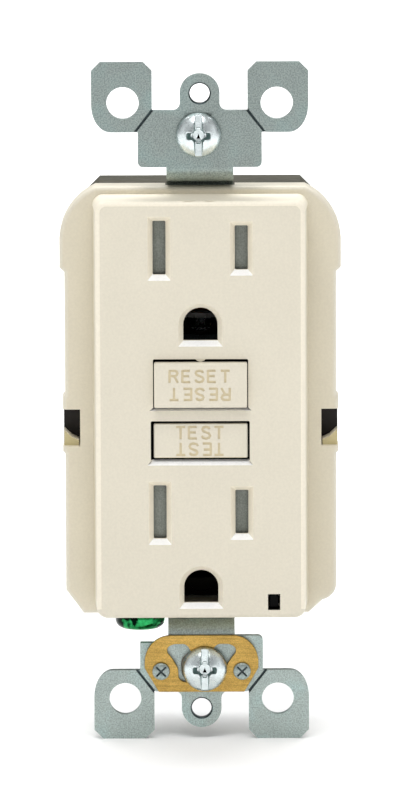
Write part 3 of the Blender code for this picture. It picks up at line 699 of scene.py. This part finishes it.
# Letters as pen strokes in a box one unit high and 0.72 wide
STROKES = {
    "R": ([(0, 0), (0, 1)],
          [(0, 0.95), (0.4, 0.95), (0.56, 0.9), (0.63, 0.76), (0.56, 0.6), (0.4, 0.53), (0, 0.53)],
          [(0.36, 0.53), (0.66, 0)]),
    "E": ([(0, 0), (0, 1)], [(0, 0.95), (0.6, 0.95)],
          [(0, 0.52), (0.54, 0.52)], [(0, 0.05), (0.62, 0.05)]),
    "S": ([(0.62, 0.78), (0.55, 0.9), (0.34, 0.96), (0.12, 0.9), (0.05, 0.76), (0.12, 0.62), (0.34, 0.53),
           (0.57, 0.43), (0.65, 0.27), (0.57, 0.11), (0.34, 0.04), (0.1, 0.1), (0.01, 0.25)],),
    "T": ([(0, 0.95), (0.7, 0.95)], [(0.35, 0), (0.35, 1)]),
}
LETTER_STEP = 1.98
LETTER_STROKE = 0.37
LETTER_DEPTH = 0.14
LIP_Y, LIP_THICKNESS = FACE_Y + 2.2, 1.2     # a button's lip, behind the face


def engrave(target, word, height, middle, y, turned_over):
    """Cut a word into a button, one pen stroke at a time."""
    flip = -1 if turned_over else 1
    left = -(len(word) - 1) * LETTER_STEP / 2 - 0.35 * height
    for i, letter in enumerate(word):
        for stroke in STROKES[letter]:
            path = []
            for u, v in stroke:
                x = left + i * LETTER_STEP + u * height
                z = (v - 0.5) * height
                path.append((middle[0] + flip * x, middle[1] + flip * z))
            cut(target, prism("Y", ribbon(path, LETTER_STROKE), y - PAST, y + LETTER_DEPTH))


def button(node, half, lip, word, height, rows):
    """Cap with its lip, and its word once upright and once turned over; the letters get painted shade, and
    the sides and lip behind the face get painted shadow.
    """
    z = centre(node)[2]
    front = span(node)[1][0]
    back = LIP_Y + LIP_THICKNESS
    shadow = max(front, FACE_Y) + 0.35
    outline = rounded_box(*half, 0.25, (0, z), 3)
    cap = loft("Y", [(outline, front), (outline, shadow), (outline, back)])
    round_edges(cap, 0.32, 3, lambda a, b: max(a.y, b.y) < front + 0.01)
    fuse(cap, prism("Y", rectangle(half[0] + 1, half[1] + lip, (0, z)), LIP_Y, back))
    for middle_z, over in rows:
        engrave(cap, word, height, (-0.15, middle_z), front, over)
    dress(cap, node, extra=("letter_shade", "gap_shadow"), pivot=(0, front, z))
    # Faces inside the letters get painted shade, and faces deeper than the shadow line get painted shadow.
    for polygon in cap.data.polygons:
        middle = polygon.center / MM
        if 0.02 < middle.y < LETTER_DEPTH + 0.02 and abs(middle.x) < 5.4 and abs(middle.z) < 2.9:
            polygon.material_index = 1
        elif middle.y > shadow - front + 0.02:
            polygon.material_index = 2


def window():
    """Smoked window of the indicator lamp."""
    x, y, z = span("indicator_lens")
    lens = block(x, y, z)
    round_edges(lens, 0.12, 2, lambda a, b: max(a.y, b.y) < y[0] + 0.01)
    dress(lens, "indicator_lens")


# ---------------------------------------------------------------- strap, clip, rivets

STRAP_FRONT_Y = span("mounting_strap")[1][0]
STRAP_TOP_Z = span("mounting_strap")[2][1]
STRAP_THICKNESS = 1.3
NECK_HALF_X = 5.2
TONGUE_HOLE_Z, TONGUE_HOLE_RADIUS = 48.4, 1.55
EAR_HOLE_X, EAR_HOLE_Z, EAR_HOLE_RADIUS = 11.93, 46.9, 2.5
FOLD_LINE = ((7.0, 45.95), (9.95, 42.2), (10.3, 42.35), (7.35, 46.2))
RIVET_RADIUS = 1.1


def plate_outline(end):
    """A plate with its tongue and its two ears, as one outline."""
    left_low = 36.9 if end > 0 else 38.0
    left_round = 0.8 if end > 0 else 0.15
    ear = [(9.6, 42.35)]
    for u, v in arc((0, 0), 1, -90, 0, 12):
        ear.append((13.8 + 3.0 * u, 46.65 + 4.3 * v))
    ear += [(16.8, STRAP_TOP_Z - 1.4), (15.4, STRAP_TOP_Z), (8.8, STRAP_TOP_Z),
            (7.4, STRAP_TOP_Z - 1.4), (7.4, 45.75)]
    points = arc((8.8, 37.7), 0.8, -90, 0, 6) + ear
    points += arc((4.1, 46.75), 1.0, 270, 180, 6)
    points += arc((0, 48.35), 3.1, 0, 180, 24)
    points += arc((-4.1, 46.75), 1.0, 0, -90, 6)
    points += [(-x, z) for x, z in reversed(ear)]
    points += arc((left_round - 9.6, left_low + left_round), left_round, 180, 270, 6)
    if end < 0:
        points += [(-4.9, left_low), (-4.9, 36.9)]
    return [(x, end * z) for x, z in points]


def strap_path():
    """The bent sheet seen from the side: plate, neck, bridge behind the face, neck, plate."""
    path = [(-0.65, 38.5)]
    path += arc((0.95, 36.7), 1.6, 180, 270, 10)
    path += arc((2.4, 33.5), 1.6, 90, 0, 8)
    return path + [(y, -z) for y, z in reversed(path)]


def strap():
    """Mounting strap in one bent sheet, with its holes, slots and fold lines."""
    sheet = prism("X", ribbon(strap_path(), STRAP_THICKNESS), -NECK_HALF_X, NECK_HALF_X)
    before = STRAP_FRONT_Y - PAST
    for end in (1, -1):
        fuse(sheet, prism("Y", plate_outline(end), STRAP_FRONT_Y, 0))
        for side in (1, -1):
            groove = [(side * x, end * z) for x, z in FOLD_LINE]
            cut(sheet, prism("Y", groove, before, STRAP_FRONT_Y + 0.45))
            ear_hole = (side * EAR_HOLE_X, end * EAR_HOLE_Z)
            cut(sheet, disc("Y", ear_hole, EAR_HOLE_RADIUS, -5, 5, 56))
        funnel = [(0, before), (TONGUE_HOLE_RADIUS + 1.2, before), (TONGUE_HOLE_RADIUS, STRAP_FRONT_Y + 0.2),
                  (TONGUE_HOLE_RADIUS, 5), (0, 5)]
        cut(sheet, turned("Y", (0, end * TONGUE_HOLE_Z), funnel, 40))
        cut(sheet, prism("Y", rounded_box(3.2, 2.2, 1.6, (0, end * 41.8), 10), -5, 5))
    for name in ("left", "right"):
        x, _, z = centre("clip_rivet_" + name)
        cut(sheet, disc("Y", (x, z), RIVET_RADIUS, -5, 5))
    for x in (-2.0, 1.45):
        mark = [(x - 0.55, 45.4), (x + 0.55, 45.4), (x + 0.12, 44.5), (x - 0.12, 44.5)]
        cut(sheet, prism("Y", mark, before, STRAP_FRONT_Y + 0.35))
    for z in GROUND_Z:
        cut(sheet, disc("Y", (0, z), 3.2, 2, 6))
    cut(sheet, disc("Y", (0, RESET[2]), 2.4, 2, 6))
    screw = centre("ground_screw")
    root = block((-13.0, -4.7), (3.35, 4.65), (-30.3, -29.0))
    fuse(sheet, root, block((-13.6, -5.6), (0.0, 6.6), (-30.6, -29.5)))
    cut(sheet, disc("Z", (screw[0], screw[1]), 2.4, -33, -28))
    soften(sheet, 0.16)
    dress(sheet, "mounting_strap", extra=("shaded_steel",))

    def in_shade(middle, normal):
        x, y, z = abs(middle.x), middle.y, abs(middle.z)
        on_bridge = x < NECK_HALF_X + 0.05 and y > 3.2 and z < 33.2
        in_tongue_hole = x < 1.8 and abs(z - TONGUE_HOLE_Z) < 1.8 and abs(normal.y) < 0.95
        in_fold_line = 6.5 < x < 10.4 and 42.1 < z < 46.3 and STRAP_FRONT_Y + 0.12 < y < -0.8
        return on_bridge or in_tongue_hole or in_fold_line

    second_surface(sheet, in_shade)


def clip():
    """Self-grounding clip, with its bow-tie opening round the screw."""
    front, back = span("grounding_clip")[1]
    right = [(6.7, -45.7), (8.9, -41.9)]
    for u, v in arc((0, 0), 1, 0, 90, 12):
        right.append((4.9 + 4.0 * u, -41.0 + 4.3 * v))
    sheet = prism("Y", right + [(-x, z) for x, z in reversed(right)], front, back)
    half = [(2.9, -44.1), (3.6, -43.5), (3.6, -42.0), (4.6, -40.3), (5.4, -39.4),
            (5.3, -38.6), (4.4, -38.1), (2.6, -38.1), (2.0, -38.6), (1.7, -39.3)]
    opening = rounded_path(half + [(-x, z) for x, z in reversed(half)], 0.7)
    cut(sheet, prism("Y", opening, front - PAST, back + PAST))
    for name in ("left", "right"):
        x, _, z = centre("clip_rivet_" + name)
        cut(sheet, disc("Y", (x, z), RIVET_RADIUS, front - PAST, back + PAST))
    soften(sheet, 0.12)
    dress(sheet, "grounding_clip")


def rivets():
    """Clip rivets with a shallow cross in the head."""
    for name in ("left", "right"):
        node = "clip_rivet_" + name
        x, _, z = centre(node)
        head, tail = span(node)[1]
        profile = [(0, head), (0.9, head), (1.2, head + 0.1), (1.36, head + 0.25), (1.36, head + 0.4),
                   (0.8, head + 0.4), (0.8, tail - 0.3), (1.5, tail - 0.3), (1.3, tail), (0, tail)]
        rivet = turned("Y", (x, z), profile, 40)
        for angle in (45, -45):
            along = Vector((math.cos(math.radians(angle)), math.sin(math.radians(angle))))
            across = Vector((-along.y, along.x)) * 0.14
            reach = along * 1.1
            corners = (reach + across, -reach + across, -reach - across, reach - across)
            outline = [(x + p.x, z + p.y) for p in corners]
            cut(rivet, prism("Y", outline, head - PAST, head + 0.22))
        soften(rivet, 0.05)
        dress(rivet, node, pivot=(x, head, z), extra=("shaded_steel",))
        second_surface(rivet, lambda middle, normal: 0.08 < middle.y < 0.3 and middle.xz.length < 0.95)


# ---------------------------------------------------------------- screws

THREAD_PITCH = 0.8
DRIVE_HALF = 0.6                            # half width of a driver slot
WING_HALF = 0.55                            # half width of a cross recess's wing


def thread(crest, root, start, inward, turns):
    """Profile points of rings that stand for a thread."""
    points = []
    for i in range(turns):
        points.append((crest, start + inward * (THREAD_PITCH * i)))
        points.append((root, start + inward * (THREAD_PITCH * i + THREAD_PITCH / 2)))
    return points


def cross_recess(axis, middle, face, inward, reach, half):
    """Tapering cross recess: four wings that meet in a round well."""
    tools = []
    for angle in (0, 90):
        turn = math.radians(angle)
        def outline(scale, turn=turn):
            points = rounded_box(reach * scale, half * scale, half * scale * 0.6, (0, 0), 3)
            return [(middle[0] + u * math.cos(turn) - v * math.sin(turn),
                     middle[1] + u * math.sin(turn) + v * math.cos(turn)) for u, v in points]
        tools.append(loft(axis, [(outline(1.2), face - inward * 0.5), (outline(0.6), face + inward * 1.3)]))
    well = [(0, face - inward), (half * 2.1, face - inward), (half * 2.1, face + inward * 0.9),
            (half * 1.6, face + inward * 1.4), (0, face + inward * 1.3)]
    tools.append(turned(axis, middle, well, 24))
    return tools


def driver_slot(axis, middle, face, inward, half, vertical=True):
    """Full-width slot whose walls lean outwards."""
    def outline(width):
        return rectangle(width, 6, middle) if vertical else rectangle(6, width, middle)
    mouth, floor = outline(half + 0.2), outline(half - 0.08)
    return loft(axis, [(mouth, face - inward * 0.2), (floor, face + inward * 1.1)])


def mounting_screws():
    """Number 6 screws with a combination recess, each in its fibre retaining washer."""
    for end in ("top", "bottom"):
        node = "mounting_screw_" + end
        x, _, z = centre(node)
        head, tip = span(node)[1]
        under = head + 1.9
        profile = [(0, head), (1.2, head + 0.05), (2.2, head + 0.34), (2.9, head + 0.78), (3.3, head + 1.2),
                   (3.5, head + 1.6), (3.5, under), (1.75, under)]
        low, high = under + 3.0, tip - 1.0
        profile += thread(1.75, 1.42, low, 1, int((high - low) / THREAD_PITCH))
        profile += [(1.72, high), (1.0, tip), (0, tip)]
        screw = turned("Y", (x, z), profile, 56)
        cut(screw, driver_slot("Y", (x, z), head, 1, 0.58),
            *cross_recess("Y", (x, z), head, 1, 2.0, WING_HALF))
        pit = [(x, z + 0.25), (x - 0.3, z - 0.5), (x + 0.3, z - 0.5)]
        cut(screw, prism("Y", pit, head, head + 1.7))
        soften(screw, 0.05)
        dress(screw, node, pivot=(x, head, z), extra=("recess_shade_steel", "gap_shadow"))
        # The head's dome lies about 0.11 r * r behind its tip, so deeper faces are in the recess; those not
        # facing the front get painted shade.
        second_surface(screw, lambda middle, normal: (
            middle.xz.length < 3.3 and normal.y > -0.8
            and middle.xz.length ** 2 * 0.11 + 0.12 < middle.y < 1.75))
        # The pit in the middle of the recess is painted black as shadow.
        for polygon in screw.data.polygons:
            if polygon.center.xz.length < 0.6 * MM and 1.42 * MM < polygon.center.y < 1.75 * MM:
                polygon.material_index = 2
        washer = "retainer_washer_" + end
        near, far = span(washer)[1]
        ring = turned("Y", (x, z), [(2.05, near), (4.8, near), (4.8, far), (2.05, far)], 56, ring=True)
        soften(ring, 0.1)
        dress(ring, washer, pivot=(x, near, z))


def ground_screw():
    """Green ground screw, head down."""
    x, y, _ = centre("ground_screw")
    head, tip = span("ground_screw")[2]
    profile = [(0, head), (2.4, head), (3.0, head + 0.12), (3.5, head + 0.42), (3.8, head + 0.85),
               (3.9, head + 1.3), (3.9, head + 2.3), (2.08, head + 2.3)]
    profile += thread(2.08, 1.72, head + 3.0, 1, 6)
    profile += [(2.05, tip - 0.7), (1.4, tip), (0, tip)]
    screw = turned("Z", (x, y), profile, 56)
    cut(screw, driver_slot("Z", (x, y), head, 1, DRIVE_HALF, False),
        *cross_recess("Z", (x, y), head, 1, 1.9, WING_HALF))
    soften(screw, 0.08)
    dress(screw, "ground_screw", pivot=(x, y, head))


def terminal_screws():
    """Wire-binding screws on both sides: brass on the hot side, plated on the neutral side."""
    for pair in ("line", "load"):
        for side_name, side in SIDES.items():
            node = "terminal_screw_" + pair + "_" + side_name
            _, y, z = centre(node)
            low, high = span(node)[0]
            head, tip = (high, low) if side > 0 else (low, high)
            profile = [(0, head), (2.6, head), (3.2, head - side * 0.2), (3.7, head - side * 0.6),
                       (3.95, head - side * 1.1), (3.95, head - side * 2.2), (2.08, head - side * 2.2)]
            profile += thread(2.08, 1.72, head - side * 2.8, -side, 4)
            profile += [(2.0, tip + side * 0.6), (1.4, tip), (0, tip)]
            screw = turned("X", (y, z), profile, 48)
            cut(screw, driver_slot("X", (y, z), head, -side, DRIVE_HALF),
                *cross_recess("X", (y, z), head, -side, 1.9, WING_HALF))
            soften(screw, 0.08)
            dress(screw, node, pivot=(head, y, z))


# ---------------------------------------------------------------- housings and contacts

CAVITY, CAVITY_BACK_Y = (12.6, 29.2), 23.3
WIRE_X, WIRE_STEP, WIRE_RADIUS = 17.0, 3.0, 1.4     # back-wire holes


def rear_housing():
    """Brown-black rear body with its screw recesses, clamp pockets, wire holes and gauge."""
    (_, half_x), (_, back), (low, high) = span("rear_housing")
    front = span("middle_housing")[1][1] + SEAM
    body = prism("Y", cut_corner_box(half_x, low, high, 4.6), front, back)
    round_edges(body, 0.6, 3, lambda a, b: min(a.y, b.y) > back - 0.01)
    cut(body, prism("Y", rectangle(*CAVITY), front - PAST, CAVITY_BACK_Y))
    for name in ("upper_right", "upper_left", "lower_right", "lower_left"):
        x, _, z = centre("assembly_screw_" + name)
        cut(body, disc("Y", (x, z), 1.5, front - PAST, back + PAST),
            disc("Y", (x, z), 2.7, 22.9, back + PAST))
    for side_name, side in SIDES.items():
        for pair in ("line", "load"):
            _, y, z = centre("terminal_screw_" + pair + "_" + side_name)
            cut(body, block(sorted((side * 14.8, side * 22)), (12.4, CAVITY_BACK_Y), (z - 5.2, z + 5.2)))
            cut(body, disc("X", (y, z), 2.6, *sorted((side * 12.0, side * 15.3)), 32))
            for wire in (-WIRE_STEP, WIRE_STEP):
                hole = (side * WIRE_X, z + wire)
                mouth = [(0, back - 0.5), (WIRE_RADIUS, back - 0.5), (2.0, back + 0.1),
                         (2.0, back + PAST), (0, back + PAST)]
                cut(body, disc("Y", hole, WIRE_RADIUS, 23, back + PAST, 32), turned("Y", hole, mouth, 32))
    cut(body, prism("Y", rounded_box(10.4, 24.0, 1.2, (0, -0.5)), back - 0.35, back + PAST))
    fuse(body, prism("Y", rounded_box(9.2, 9.6, 0.8, (0, -14.0)), back - 0.5, back - 0.12))
    fuse(body, block((-4.0, 4.0), (front, front + 1.6), (low - 0.9, low + 0.5)))
    strip_gauge = rounded_box(0.9, 6.2, 0.4, (0, 12.0))
    cut(body, prism("Y", strip_gauge, back - 0.9, back + PAST))
    for x in (-11.0, 11.0):
        cut(body, block((x - 2.2, x + 2.2), (front + 3, front + 9), (low - PAST, low + 0.6)))
    soften(body, 0.14)
    dress(body, "rear_housing")


LEAF_THICKNESS, LEAF_HALF_Z = 0.42, 4.6


def contacts():
    """Sprung blade contacts: each pair of leaves flares at its mouth and closes to a narrow throat."""
    for side_name, side in SIDES.items():
        node = side_name + "_receptacle_contact"
        front, leg_end = span(node)[1]
        middle = side * BLADE_X

        def at(low, high, side=side):
            return sorted((side * low, side * high))

        strip = block(at(7.9, 9.0), (1.9, 2.9), span(node)[2])
        for z in BLADE_Z:
            reach = (z - 3.5, z + 3.5)
            fuse(strip, block(at(5.4, 8.4), (2.0, 2.8), reach))
            cut(strip, block(at(5.9, 6.8), (1, 4), (z - 2.5, z + 2.5)))
            for lean in (1, -1):
                path = [(1.3, front - 0.45), (0.32, front - 0.45), (0.24, front - 0.2),
                        (0.24, front + 2.4), (0.9, front + 5.6), (1.1, 2.4)]
                outline = ribbon([(middle + lean * x, y) for x, y in path], LEAF_THICKNESS)
                fuse(strip, prism("Z", outline, z - LEAF_HALF_Z, z + LEAF_HALF_Z))
            lip = block((middle - 0.6, middle + 0.6), (front - 0.66, front - 0.5),
                        (z - LEAF_HALF_Z, z + LEAF_HALF_Z))
            fuse(strip, lip)
        fuse(strip, block(at(8.8, 10.2), (2.1, leg_end), (RESET[2] - 1.6, RESET[2] + 1.6)))
        dress(strip, node, "tinned")


def coil(node):
    """A coil in its CAD shape, as a piece of its own, so that it can follow a joint."""
    cad = bpy.data.objects[node]
    obj = bpy.data.objects.new(node + "_finished", cad.data.copy())
    bpy.context.scene.collection.objects.link(obj)
    obj.data.materials.clear()
    obj.data.materials.append(SURFACES[SLOT[node]])
    obj.matrix_world = cad.matrix_world.copy()
    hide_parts(node)
    return obj


def springs():
    """The reset spring rides with the housing on a mesh of its own, and the plunger's spring is fixed where
    it stands.
    """
    reset = coil("reset_spring")
    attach(reset, "housing")
    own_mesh(reset)
    plunger = coil("plunger_spring")
    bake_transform(plunger)


def carried_over():
    """Inner pieces and plates keep their CAD shape and get their surface."""
    for node, slot in SLOT.items():
        obj = bpy.data.objects.get(node)
        if obj and obj.type == "MESH":
            # Ground contacts get near-black brass as painted shade, deep in the ground holes.
            look = SURFACES["shaded_brass" if "ground_contact" in node else slot]
            for i in range(len(obj.material_slots)):
                obj.material_slots[i].material = look


# ---------------------------------------------------------------- light and camera

SOFTBOXES = (                               # name, location, target, size, watts
    ("softbox_key", (-0.15, -1.1, 2.2), (0, 0, 0), (1.5, 1.1), 32.0),
    ("softbox_back", (0.0, 1.1, 1.5), (0, 1.0, 0), (2.4, 1.4), 40.0),
    ("softbox_left", (-0.9, -0.55, 0.25), (0, 0, 0), (0.5, 0.8), 0.5),
    ("softbox_right", (0.9, -0.55, 0.25), (0, 0, 0), (0.5, 0.8), 0.6))
SKY = ((0.0, (0.66, 0.67, 0.68, 1)), (0.8, (1.0, 1.0, 1.0, 1)))    # from below upwards
SKY_STRENGTH = 0.47


def area(name, location, target, size, energy):
    lamp = bpy.data.lights.new(name, "AREA")
    lamp.shape = "RECTANGLE"
    lamp.size, lamp.size_y = size
    lamp.energy = energy
    obj = bpy.data.objects.new(name, lamp)
    obj.location = location
    obj.rotation_euler = (Vector(target) - Vector(location)).to_track_quat("-Z", "Y").to_euler()
    bpy.context.scene.collection.objects.link(obj)


def studio():
    """Pale paper floor, a soft gradient sky and four softboxes."""
    scene = bpy.context.scene
    scene.view_settings.view_transform = "Standard"
    low = cad_box[0][2]
    bm = bmesh.new()
    corners = [bm.verts.new((x, y, low)) for x, y in ((-3, -3), (3, -3), (3, 6), (-3, 6))]
    bm.faces.new(corners)
    mesh = bpy.data.meshes.new("floor")
    bm.to_mesh(mesh)
    bm.free()
    floor = bpy.data.objects.new("floor", mesh)
    scene.collection.objects.link(floor)
    paper = Surface("floor_paper", 0.9)
    paper.colour(paper.ramp(paper.noise(0.02, 2.0), (0.3, 0.97), (0.7, 0.985)))
    mesh.materials.append(paper.made)
    world = bpy.data.worlds.new("studio")
    scene.world = world
    world.use_nodes = True
    tree = world.node_tree
    where = tree.nodes.new("ShaderNodeTexCoord")
    split = tree.nodes.new("ShaderNodeSeparateXYZ")
    tree.links.new(where.outputs["Generated"], split.inputs["Vector"])
    fade = tree.nodes.new("ShaderNodeValToRGB")
    for element, (position, colour) in zip(fade.color_ramp.elements, SKY):
        element.position = position
        element.color = colour
    tree.links.new(split.outputs["Z"], fade.inputs["Fac"])
    tree.links.new(fade.outputs["Color"], tree.nodes["Background"].inputs["Color"])
    tree.nodes["Background"].inputs["Strength"].default_value = SKY_STRENGTH
    for softbox in SOFTBOXES:
        area(*softbox)


def camera():
    """Long lens from straight in front and a little above."""
    lens = bpy.data.cameras.new("camera")
    lens.type = "PERSP"
    lens.sensor_width = 36
    distance = 1.2
    view_height = 0.1246                    # height of the picture at the object, in metres
    lens.lens = lens.sensor_width * distance / view_height
    lens.clip_end = 20
    obj = bpy.data.objects.new("camera", lens)
    elevation = math.radians(9.0)
    target = Vector((-0.0001, 0, 0.0002))
    direction = Vector((0, -math.cos(elevation), math.sin(elevation)))
    obj.location = target + direction * distance
    turn = (-direction).to_track_quat("-Z", "Y").to_matrix().to_4x4()
    roll = Matrix.Rotation(math.radians(-0.2), 4, "Z")
    obj.rotation_euler = (turn @ roll).to_euler()
    bpy.context.scene.collection.objects.link(obj)
    bpy.context.scene.camera = obj


cover()
button("reset_button", (7.2, 3.5), 0.7, "RESET", 1.95,
       ((RESET[2] + 1.45, False), (RESET[2] - 1.35, True)))
button("test_button", (7.3, 2.73), 0.5, "TEST", 2.0,
       ((TEST[2] + 1.25, False), (TEST[2] - 1.35, True)))
window()
strap()
clip()
rivets()
mounting_screws()
ground_screw()
terminal_screws()
rear_housing()
contacts()
springs()
carried_over()
studio()
camera()
